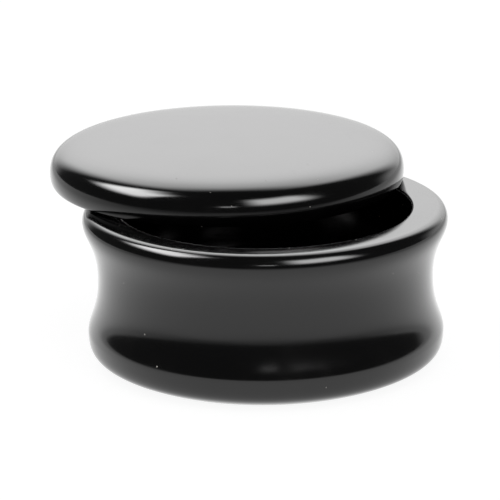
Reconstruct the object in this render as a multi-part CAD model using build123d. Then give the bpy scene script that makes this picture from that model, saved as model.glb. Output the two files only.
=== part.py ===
from build123d import *
import math
import os

# A round lidded bowl, turned from solid stock and lacquered black. The bowl has a flared lip,
# a drawn-in waist and a full belly. The lid is loose and lies ajar on the rim.
# Millimetres, +Z up. The origin is the centre of the bowl's flat base. The front faces -Y.

# Bowl, outside
base_radius = 48.3
base_lift_angle = 24.0
belly_radius = 54.7
belly_height = 8.7
waist_radius = 51.4
waist_height = 25.6
lip_radius = 55.8
lip_height = 43.8
lip_rounding_width = 3.4
bowl_height = 47.7
base_curve_fullness = 0.50
belly_fullness = 0.21
waist_fullness = 0.57
lip_curve_fullness = 0.38

# Bowl, rim and inside
mouth_radius = 44.8
mouth_edge_rounding = 0.6
rim_dip = 0.40
rim_dip_angle = 6.0
floor_thickness = 9.0
wall_taper_angle = 2.0
floor_corner_radius = 14.0

# Lid
lid_inset_from_lip = 0.4
lid_edge_depth = 3.2
lid_edge_width = 1.2
lid_shoulder_height = 9.4
lid_shoulder_width = 16.2
lid_crown_rise = 1.5
lid_side_fullness = 0.81
lid_top_fullness = 0.60
lid_hollow_depth = 2.0
lid_hollow_beyond_mouth = 3.2

# How the loose lid lies on the rim: level, shifted left and back
lid_shift_left = 11.7
lid_shift_back = 29.0
lid_seat_gap = 0.3

# Share of a quarter ellipse's radius at which its control points stand
ellipse_fullness = 0.5523

# Share of a shallow curve's length at which its control points stand
shallow_fullness = 1 / 3

rim_crown_radius = lip_radius - lip_rounding_width
mouth_height = bowl_height - rim_dip
lid_radius = lip_radius - lid_inset_from_lip
lid_hollow_radius = mouth_radius + lid_hollow_beyond_mouth


def at_angle(angle):
    """Unit vector in the profile plane, at an angle above the outward radius."""
    turn = math.radians(angle)
    return Vector(math.cos(turn), 0, math.sin(turn))


def flow(start, start_way, end, end_way, start_fullness, end_fullness):
    """A smooth curve that leaves start along start_way and reaches end along end_way."""
    length = (Vector(*end) - Vector(*start)).length
    start_handle = Vector(*start) + start_way * length * start_fullness
    end_handle = Vector(*end) - end_way * length * end_fullness
    return Bezier(start, start_handle, end_handle, end)


def even_flow(start, start_way, end, end_way, fullness):
    return flow(start, start_way, end, end_way, fullness, fullness)


def turned(outline):
    """The solid that a closed half outline in the XZ plane makes when it turns about Z."""
    return revolve(make_face(outline), Axis.Z, 360)


def ring_edges(solid, radius, height):
    """The circular edges of a turned solid at a radius and a height."""
    circles = solid.edges().filter_by(GeomType.CIRCLE)
    return circles.filter_by(
        lambda edge: math.isclose(edge.radius, radius, abs_tol=0.01)
        and math.isclose(edge.center().Z, height, abs_tol=0.01)
    )


def make_bowl():
    up = at_angle(90)
    inward = at_angle(180)
    rim_way = at_angle(180 + rim_dip_angle)
    base_edge = (base_radius, 0, 0)
    belly = (belly_radius, 0, belly_height)
    waist = (waist_radius, 0, waist_height)
    lip = (lip_radius, 0, lip_height)
    rim_crown = (rim_crown_radius, 0, bowl_height)
    mouth = (mouth_radius, 0, mouth_height)
    taper = (mouth_height - floor_thickness) * math.tan(math.radians(wall_taper_angle))
    floor_radius = mouth_radius - taper
    floor_edge = (floor_radius, 0, floor_thickness)
    floor_middle = (0, 0, floor_thickness)
    outline = [
        Line((0, 0, 0), base_edge),
        even_flow(base_edge, at_angle(base_lift_angle), belly, up, base_curve_fullness),
        flow(belly, up, waist, up, belly_fullness, waist_fullness),
        flow(waist, up, lip, up, waist_fullness, belly_fullness),
        even_flow(lip, up, rim_crown, inward, lip_curve_fullness),
        even_flow(rim_crown, inward, mouth, rim_way, shallow_fullness),
        Line(mouth, floor_edge),
        Line(floor_edge, floor_middle),
        Line(floor_middle, (0, 0, 0)),
    ]
    solid = turned(outline)
    solid = fillet(ring_edges(solid, floor_radius, floor_thickness), floor_corner_radius)
    return fillet(ring_edges(solid, mouth_radius, mouth_height), mouth_edge_rounding)


def make_lid_on_axis():
    """The lid with its axis on Z and its widest circle at height 0."""
    underside = -lid_edge_depth
    widest = (lid_radius, 0, 0)
    seat_edge = (lid_radius - lid_edge_width, 0, underside)
    shoulder_radius = lid_radius - lid_shoulder_width
    shoulder = (shoulder_radius, 0, lid_shoulder_height)
    crown = (0, 0, lid_shoulder_height + lid_crown_rise)
    shoulder_way = Vector(-shoulder_radius, 0, 2 * lid_crown_rise).normalized()
    seat_handle = (seat_edge[0] + lid_edge_width * ellipse_fullness, 0, underside)
    lower_handle = (lid_radius, 0, underside * ellipse_fullness)
    upper_handle = (lid_radius, 0, lid_shoulder_height * lid_side_fullness)
    shoulder_handle = Vector(*shoulder) - shoulder_way * lid_shoulder_width * lid_top_fullness
    hollow_edge = (lid_hollow_radius, 0, underside)
    hollow_top = (0, 0, underside + lid_hollow_depth)
    sphere_radius = (lid_hollow_radius**2 + lid_hollow_depth**2) / (2 * lid_hollow_depth)
    half_way = lid_hollow_radius / 2
    half_way_fall = sphere_radius - math.sqrt(sphere_radius**2 - half_way**2)
    outline = [
        ThreePointArc(hollow_top, (half_way, 0, hollow_top[2] - half_way_fall), hollow_edge),
        Line(hollow_edge, seat_edge),
        Bezier(seat_edge, seat_handle, lower_handle, widest),
        Bezier(widest, upper_handle, shoulder_handle, shoulder),
        even_flow(shoulder, shoulder_way, crown, at_angle(180), shallow_fullness),
        Line(crown, hollow_top),
    ]
    return turned(outline)


def make_lid():
    """The lid where it lies, ajar on the rim."""
    height = bowl_height + lid_seat_gap + lid_edge_depth
    return Pos(-lid_shift_left, lid_shift_back, height) * make_lid_on_axis()


os.makedirs("parts", exist_ok=True)
export_step(make_bowl(), "parts/bowl.step")
export_step(make_lid(), "parts/lid.step")
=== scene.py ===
import math

import bmesh
import bpy
from mathutils import Matrix, Vector
from mathutils.geometry import interpolate_bezier


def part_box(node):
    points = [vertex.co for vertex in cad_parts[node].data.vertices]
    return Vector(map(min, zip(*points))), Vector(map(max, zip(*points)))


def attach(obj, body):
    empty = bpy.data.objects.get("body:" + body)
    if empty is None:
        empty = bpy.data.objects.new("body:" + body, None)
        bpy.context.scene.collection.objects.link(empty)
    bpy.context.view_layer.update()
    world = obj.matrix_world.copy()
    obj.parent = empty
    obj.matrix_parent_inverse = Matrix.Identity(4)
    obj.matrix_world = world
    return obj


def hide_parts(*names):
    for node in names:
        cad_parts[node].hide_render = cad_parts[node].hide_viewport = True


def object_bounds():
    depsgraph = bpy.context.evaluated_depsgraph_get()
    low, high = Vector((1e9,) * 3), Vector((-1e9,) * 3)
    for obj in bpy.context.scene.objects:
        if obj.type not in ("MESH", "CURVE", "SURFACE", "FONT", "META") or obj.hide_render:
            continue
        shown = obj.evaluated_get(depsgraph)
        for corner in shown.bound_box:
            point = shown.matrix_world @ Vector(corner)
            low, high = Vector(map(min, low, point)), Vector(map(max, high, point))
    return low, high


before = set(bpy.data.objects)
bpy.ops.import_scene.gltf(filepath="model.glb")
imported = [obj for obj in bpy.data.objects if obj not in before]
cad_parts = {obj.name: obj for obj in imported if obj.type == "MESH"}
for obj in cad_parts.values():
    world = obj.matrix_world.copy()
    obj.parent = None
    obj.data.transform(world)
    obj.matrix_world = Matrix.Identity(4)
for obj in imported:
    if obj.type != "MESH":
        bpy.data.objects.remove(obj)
cad_low, cad_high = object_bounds()

# Metres, +Z up, the origin at the centre of the bowl's base, the front towards -Y.

# Bowl outline
base_radius = 0.0483
base_lift_angle = 24.0
belly_radius = 0.0547
belly_height = 0.0087
waist_radius = 0.0514
waist_height = 0.0256
lip_radius = 0.0558
lip_height = 0.0438
lip_rounding_width = 0.0034
bowl_height = 0.0477
mouth_radius = 0.0448
mouth_edge_rounding = 0.0006
rim_dip = 0.0004
rim_dip_angle = 6.0
floor_thickness = 0.009
wall_taper_angle = 2.0
floor_corner_radius = 0.014
base_curve_fullness = 0.50
belly_fullness = 0.21
waist_fullness = 0.57
lip_curve_fullness = 0.38

# Lid outline
lid_inset_from_lip = 0.0004
lid_edge_depth = 0.0032
lid_edge_width = 0.0012
lid_shoulder_height = 0.0094
lid_shoulder_width = 0.0162
lid_crown_rise = 0.0015
lid_side_fullness = 0.81
lid_top_fullness = 0.60
lid_hollow_depth = 0.002
lid_hollow_beyond_mouth = 0.0032

ellipse_fullness = 0.5523
shallow_fullness = 1 / 3
turning_steps = 256

# Studio: each soft box has a middle (turn, height), half a size and a soft edge, in degrees.
# Turn is counted from the back for the back box and the wall, and from the front for the rest.
# Radiances have the floor near 1.
back_box_place = ((5, 26), (36, 36), 12)
back_box_low = 1.3
back_box_rise = 2.7
back_box_rise_ends = 40
wall_place = ((12, 0), (48, 14), 10)
wall_radiance = 0.9
left_box_place = ((-95, 53), (28, 12), 8)
left_box_radiance = 15.0
right_box_place = ((40, 41), (21, 14), 9)
right_box_radiance = 10.0
small_box_place = ((1, 24), (5, 2), 2)
small_box_radiance = 6.0
room_radiance = 0.07
fill_radiance = 0.35
backdrop_radiance = 1.0
floor_glow = 0.90
floor_size = 6.0
floor_clearance = 0.0002

# Camera
camera_distance = 0.9644
camera_height = 0.3253
camera_down_tilt = 16.848
camera_pan = -0.276
camera_roll = 0.62
camera_lens = 237.1
camera_sensor_width = 36.0
camera_clip_start = 0.05


# ---------------------------------------------------------------- outlines


def point(radius, height):
    return Vector((radius, 0.0, height))


def at_angle(angle):
    """Unit vector in the outline's plane, at an angle above the outward radius."""
    turn = math.radians(angle)
    return point(math.cos(turn), math.sin(turn))


def bezier(start, start_handle, end_handle, end, steps):
    """Points along a curve, without its last point."""
    return interpolate_bezier(start, start_handle, end_handle, end, steps + 1)[:-1]


def flow(start, start_way, end, end_way, start_fullness, end_fullness, steps):
    """A smooth curve that leaves start along start_way and reaches end along end_way."""
    length = (end - start).length
    start_handle = start + start_way * length * start_fullness
    end_handle = end - end_way * length * end_fullness
    return bezier(start, start_handle, end_handle, end, steps)


def even_flow(start, start_way, end, end_way, fullness, steps):
    return flow(start, start_way, end, end_way, fullness, fullness, steps)


def straight(start, end, steps):
    return [start.lerp(end, step / steps) for step in range(steps)]


def rounded(start, corner, end, steps):
    """A quarter-round that leaves start towards corner and comes from corner to end."""
    return bezier(
        start,
        start.lerp(corner, ellipse_fullness),
        end.lerp(corner, ellipse_fullness),
        end,
        steps,
    )


def bowl_outline():
    up = at_angle(90)
    base_edge = point(base_radius, 0)
    belly = point(belly_radius, belly_height)
    waist = point(waist_radius, waist_height)
    lip = point(lip_radius, lip_height)
    rim_crown = point(lip_radius - lip_rounding_width, bowl_height)
    mouth = point(mouth_radius, bowl_height - rim_dip)
    taper = (mouth.z - floor_thickness) * math.tan(math.radians(wall_taper_angle))
    floor_edge = point(mouth_radius - taper, floor_thickness)
    inward = at_angle(180)
    rim_way = at_angle(180 + rim_dip_angle)
    wall_way = (floor_edge - mouth).normalized()
    rim_inside = mouth - rim_way * mouth_edge_rounding
    wall_top = mouth + wall_way * mouth_edge_rounding
    wall_foot = floor_edge - wall_way * floor_corner_radius
    floor_start = floor_edge - point(floor_corner_radius, 0)
    return (
        straight(point(0, 0), base_edge, 24)
        + even_flow(base_edge, at_angle(base_lift_angle), belly, up, base_curve_fullness, 24)
        + flow(belly, up, waist, up, belly_fullness, waist_fullness, 48)
        + flow(waist, up, lip, up, waist_fullness, belly_fullness, 48)
        + even_flow(lip, up, rim_crown, inward, lip_curve_fullness, 24)
        + even_flow(rim_crown, inward, rim_inside, rim_way, shallow_fullness, 14)
        + rounded(rim_inside, mouth, wall_top, 6)
        + straight(wall_top, wall_foot, 16)
        + rounded(wall_foot, floor_edge, floor_start, 20)
        + straight(floor_start, point(0, floor_thickness), 16)
        + [point(0, floor_thickness)]
    )


def lid_outline():
    """The lid lying level, with its widest circle at height 0."""
    lid_radius = lip_radius - lid_inset_from_lip
    hollow_radius = mouth_radius + lid_hollow_beyond_mouth
    seat_edge = point(lid_radius - lid_edge_width, -lid_edge_depth)
    hollow_edge = point(hollow_radius, -lid_edge_depth)
    hollow_top = point(0, lid_hollow_depth - lid_edge_depth)
    widest = point(lid_radius, 0)
    shoulder = point(lid_radius - lid_shoulder_width, lid_shoulder_height)
    crown = point(0, lid_shoulder_height + lid_crown_rise)
    shoulder_way = point(-shoulder.x, 2 * lid_crown_rise).normalized()
    shoulder_handle = shoulder - shoulder_way * lid_shoulder_width * lid_top_fullness
    upper_handle = point(lid_radius, lid_shoulder_height * lid_side_fullness)
    hollow_slope = math.degrees(2 * math.atan(lid_hollow_depth / hollow_radius))
    return (
        even_flow(
            hollow_top, at_angle(0), hollow_edge, at_angle(-hollow_slope), shallow_fullness, 40
        )
        + straight(hollow_edge, seat_edge, 5)
        + rounded(seat_edge, point(lid_radius, -lid_edge_depth), widest, 20)
        + bezier(widest, upper_handle, shoulder_handle, shoulder, 40)
        + even_flow(shoulder, shoulder_way, crown, at_angle(180), shallow_fullness, 36)
        + [crown]
    )


# ------------------------------------------------------------------ pieces


def turn_on_lathe(name, outline):
    """A closed solid turned about Z from an outline that starts and ends on the axis."""
    shape = bmesh.new()
    points = [shape.verts.new(place) for place in outline]
    lines = [shape.edges.new(pair) for pair in zip(points, points[1:])]
    bmesh.ops.spin(
        shape,
        geom=points + lines,
        cent=(0, 0, 0),
        axis=(0, 0, 1),
        angle=math.tau,
        steps=turning_steps,
        use_merge=True,
    )
    bmesh.ops.remove_doubles(shape, verts=shape.verts, dist=1e-6)
    bmesh.ops.recalc_face_normals(shape, faces=shape.faces)
    return finish_piece(name, shape)


def finish_piece(name, shape):
    for face in shape.faces:
        face.smooth = True
    mesh = bpy.data.meshes.new(name)
    shape.to_mesh(mesh)
    shape.free()
    piece = bpy.data.objects.new(name, mesh)
    bpy.context.scene.collection.objects.link(piece)
    return piece


def make_bowl(lacquer):
    piece = turn_on_lathe("bowl_turned", bowl_outline())
    piece.data.materials.append(lacquer)
    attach(piece, "bowl")
    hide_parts("bowl")
    return piece


def lid_place():
    """The centre of the lid's widest circle."""
    low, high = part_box("lid")
    return Vector(((low[0] + high[0]) / 2, (low[1] + high[1]) / 2, low[2] + lid_edge_depth))


def make_lid(lacquer):
    piece = turn_on_lathe("lid_turned", lid_outline())
    piece.data.transform(Matrix.Translation(lid_place()))
    piece.data.materials.append(lacquer)
    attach(piece, "lid")
    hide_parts("lid")
    return piece


# --------------------------------------------------------------- materials


class Value:
    """A number that a shader works out, with arithmetic written as Python expressions."""

    def __init__(self, nodes, socket):
        self.nodes = nodes
        self.socket = socket

    def __add__(self, other):
        return self.nodes.math("ADD", self, other)

    def __sub__(self, other):
        return self.nodes.math("SUBTRACT", self, other)

    def __rsub__(self, other):
        return self.nodes.math("SUBTRACT", other, self)

    def __mul__(self, other):
        return self.nodes.math("MULTIPLY", self, other)

    __radd__ = __add__
    __rmul__ = __mul__

    def less_than(self, other):
        return self.nodes.math("LESS_THAN", self, other)

    def smooth_step(self, low, high):
        """0 below low, 1 above high, and a smooth rise between them."""
        node = self.nodes.add(
            "ShaderNodeMapRange",
            {"interpolation_type": "SMOOTHSTEP"},
            Value=self,
            **{"From Min": low, "From Max": high},
        )
        return self.nodes.value(node, "Result")


class NodeTree:
    """The nodes of a material or of the world."""

    def __init__(self, tree):
        self.tree = tree

    def feed(self, socket, value):
        if isinstance(value, Value):
            value = value.socket
        if isinstance(value, bpy.types.NodeSocket):
            self.tree.links.new(value, socket)
        else:
            socket.default_value = value

    def add(self, kind, settings=None, **inputs):
        node = self.tree.nodes.new(kind)
        for name, value in (settings or {}).items():
            setattr(node, name, value)
        for name, value in inputs.items():
            self.feed(node.inputs[name], value)
        return node

    def value(self, node, output):
        return Value(self, node.outputs[output])

    def math(self, operation, first, second=None):
        node = self.add("ShaderNodeMath", {"operation": operation})
        self.feed(node.inputs[0], first)
        if second is not None:
            self.feed(node.inputs[1], second)
        return self.value(node, "Value")

    def mix_colours(self, mask, first, second):
        node = self.add("ShaderNodeMix", {"data_type": "RGBA"})
        self.feed(node.inputs[0], mask)
        self.feed(node.inputs[6], first)
        self.feed(node.inputs[7], second)
        return node.outputs[2]


class Shader(NodeTree):
    """A material of one finish."""

    def __init__(self, name):
        self.material = bpy.data.materials.new(name)
        self.material.use_nodes = True
        super().__init__(self.material.node_tree)
        self.surface = self.tree.nodes["Principled BSDF"]

    def place(self):
        return self.add("ShaderNodeTexCoord").outputs["Object"]

    def noise(self, where, scale, detail=2.0, roughness=0.5):
        node = self.add(
            "ShaderNodeTexNoise", Vector=where, Scale=scale, Detail=detail, Roughness=roughness
        )
        return self.value(node, "Fac")

    def bump(self, height, strength, distance):
        node = self.add("ShaderNodeBump", Height=height, Strength=strength, Distance=distance)
        return node.outputs["Normal"]


def black_lacquer(name):
    """Deep black gloss over turned wood: faint orange peel, smudges and a little dust."""
    shader = Shader(name)
    where = shader.place()
    peel = shader.noise(where, 420.0, 2.0)
    sway = shader.noise(where, 45.0, 1.0)
    smudge = shader.noise(where, 70.0, 4.0, 0.6).smooth_step(0.45, 0.75)
    specks = shader.add("ShaderNodeTexVoronoi", {"feature": "F1"}, Vector=where, Scale=210.0)
    spread = shader.noise(where, 900.0, 0.0)
    dust = shader.value(specks, "Distance").less_than(0.055) * spread.smooth_step(0.60, 0.62)
    colour = shader.mix_colours(
        smudge * 0.6, (0.0022, 0.0022, 0.0024, 1), (0.0045, 0.0042, 0.0040, 1)
    )
    colour = shader.mix_colours(dust, colour, (0.45, 0.43, 0.40, 1))
    shader.feed(shader.surface.inputs["Base Color"], colour)
    shader.feed(shader.surface.inputs["Roughness"], 0.11 + smudge * 0.05 + dust * 0.5)
    shader.surface.inputs["IOR"].default_value = 1.5
    relief = peel * 0.35 + sway + dust * 2.0
    shader.feed(shader.surface.inputs["Normal"], shader.bump(relief, 0.25, 0.00006))
    return shader.material


def white_floor():
    """A light table: an even white, and in reflections brighter behind and fading in front."""
    shader = Shader("floor_white")
    where = shader.place()
    grain = shader.noise(where, 30.0, 3.0)
    shader.feed(
        shader.surface.inputs["Base Color"],
        shader.mix_colours(grain, (0.39, 0.39, 0.39, 1), (0.41, 0.41, 0.41, 1)),
    )
    shader.surface.inputs["Roughness"].default_value = 0.8
    shader.surface.inputs["Specular IOR Level"].default_value = 0.0
    split = shader.add("ShaderNodeSeparateXYZ", Vector=where)
    aside = shader.math("ABSOLUTE", shader.value(split, "X"))
    back = shader.value(split, "Y")
    far_front = 0.20 + back.smooth_step(-1.20, -0.50) * 0.15
    near_front = back.smooth_step(-0.45, -0.12) * 0.65 + back.smooth_step(-0.15, 0.10) * 0.30
    reflected = (far_front + near_front) * (1 - 0.5 * aside.smooth_step(0.10, 0.35))
    glossy = shader.value(shader.add("ShaderNodeLightPath"), "Is Glossy Ray")
    glow = (1 - glossy) * floor_glow + glossy * reflected
    shader.feed(shader.surface.inputs["Emission Color"], glow)
    shader.surface.inputs["Emission Strength"].default_value = 1.0
    return shader.material


# ---------------------------------------------------------- studio, camera


def make_floor():
    shape = bmesh.new()
    bmesh.ops.create_grid(shape, x_segments=2, y_segments=2, size=floor_size)
    floor = finish_piece("floor", shape)
    floor.location.z = cad_low.z - floor_clearance
    floor.data.materials.append(white_floor())


def soft_box(turn, height, middle, half_size, edge):
    """1 inside a box of directions, falling softly to 0 at its edges; angles in degrees."""
    inside = 1
    for angle, centre, half in zip((turn, height), middle, half_size):
        soft = math.radians(edge)
        low = math.radians(centre - half)
        high = math.radians(centre + half)
        rise = angle.smooth_step(low - soft, low + soft)
        fall = angle.smooth_step(high - soft, high + soft)
        inside = rise * (1 - fall) * inside
    return inside


def light_world():
    """What the gloss reflects, apart from an even fill for matt surfaces and a white backdrop.

    A tall soft box stands behind, over a pale wall. Two smaller soft boxes stand left and
    right above the bowl, a very small one stands in front, and the rest of the room is dark.
    """
    world = bpy.data.worlds.new("studio")
    world.use_nodes = True
    nodes = NodeTree(world.node_tree)
    way = nodes.add("ShaderNodeTexCoord").outputs["Generated"]
    split = nodes.add("ShaderNodeSeparateXYZ", Vector=way)
    right = nodes.value(split, "X")
    back = nodes.value(split, "Y")
    height = nodes.math("ARCSINE", nodes.value(split, "Z"))
    from_front = nodes.math("ARCTAN2", right, back * -1)
    from_back = nodes.math("ARCTAN2", right, back)
    climb = height.smooth_step(0, math.radians(back_box_rise_ends))
    back_box = soft_box(from_back, height, *back_box_place) * (back_box_low + climb * back_box_rise)
    wall = soft_box(from_back, height, *wall_place) * wall_radiance
    left_box = soft_box(from_front, height, *left_box_place) * left_box_radiance
    right_box = soft_box(from_front, height, *right_box_place) * right_box_radiance
    small_box = soft_box(from_front, height, *small_box_place) * small_box_radiance
    boxes = nodes.math("MAXIMUM", back_box, wall) + left_box + right_box + small_box
    path = nodes.add("ShaderNodeLightPath")
    glossy = nodes.value(path, "Is Glossy Ray")
    seen = nodes.value(path, "Is Camera Ray")
    plain = fill_radiance + seen * (backdrop_radiance - fill_radiance)
    strength = glossy * (room_radiance + boxes) + (1 - glossy) * plain
    background = nodes.tree.nodes["Background"]
    nodes.feed(background.inputs["Color"], strength)
    background.inputs["Strength"].default_value = 1.0
    bpy.context.scene.world = world


def make_camera():
    data = bpy.data.cameras.new("camera")
    data.lens = camera_lens
    data.sensor_width = camera_sensor_width
    data.clip_start = camera_clip_start
    camera = bpy.data.objects.new("camera", data)
    tilt = Matrix.Rotation(math.radians(90 - camera_down_tilt), 4, "X")
    pan = Matrix.Rotation(math.radians(-camera_pan), 4, "Z")
    roll = Matrix.Rotation(math.radians(-camera_roll), 4, "Z")
    camera.matrix_world = (
        Matrix.Translation((0, -camera_distance, camera_height)) @ pan @ tilt @ roll
    )
    bpy.context.scene.collection.objects.link(camera)
    bpy.context.scene.camera = camera


make_bowl(black_lacquer("bowl_lacquer"))
make_lid(black_lacquer("lid_lacquer"))
make_floor()
light_world()
make_camera()
bpy.context.scene.view_settings.view_transform = "Standard"
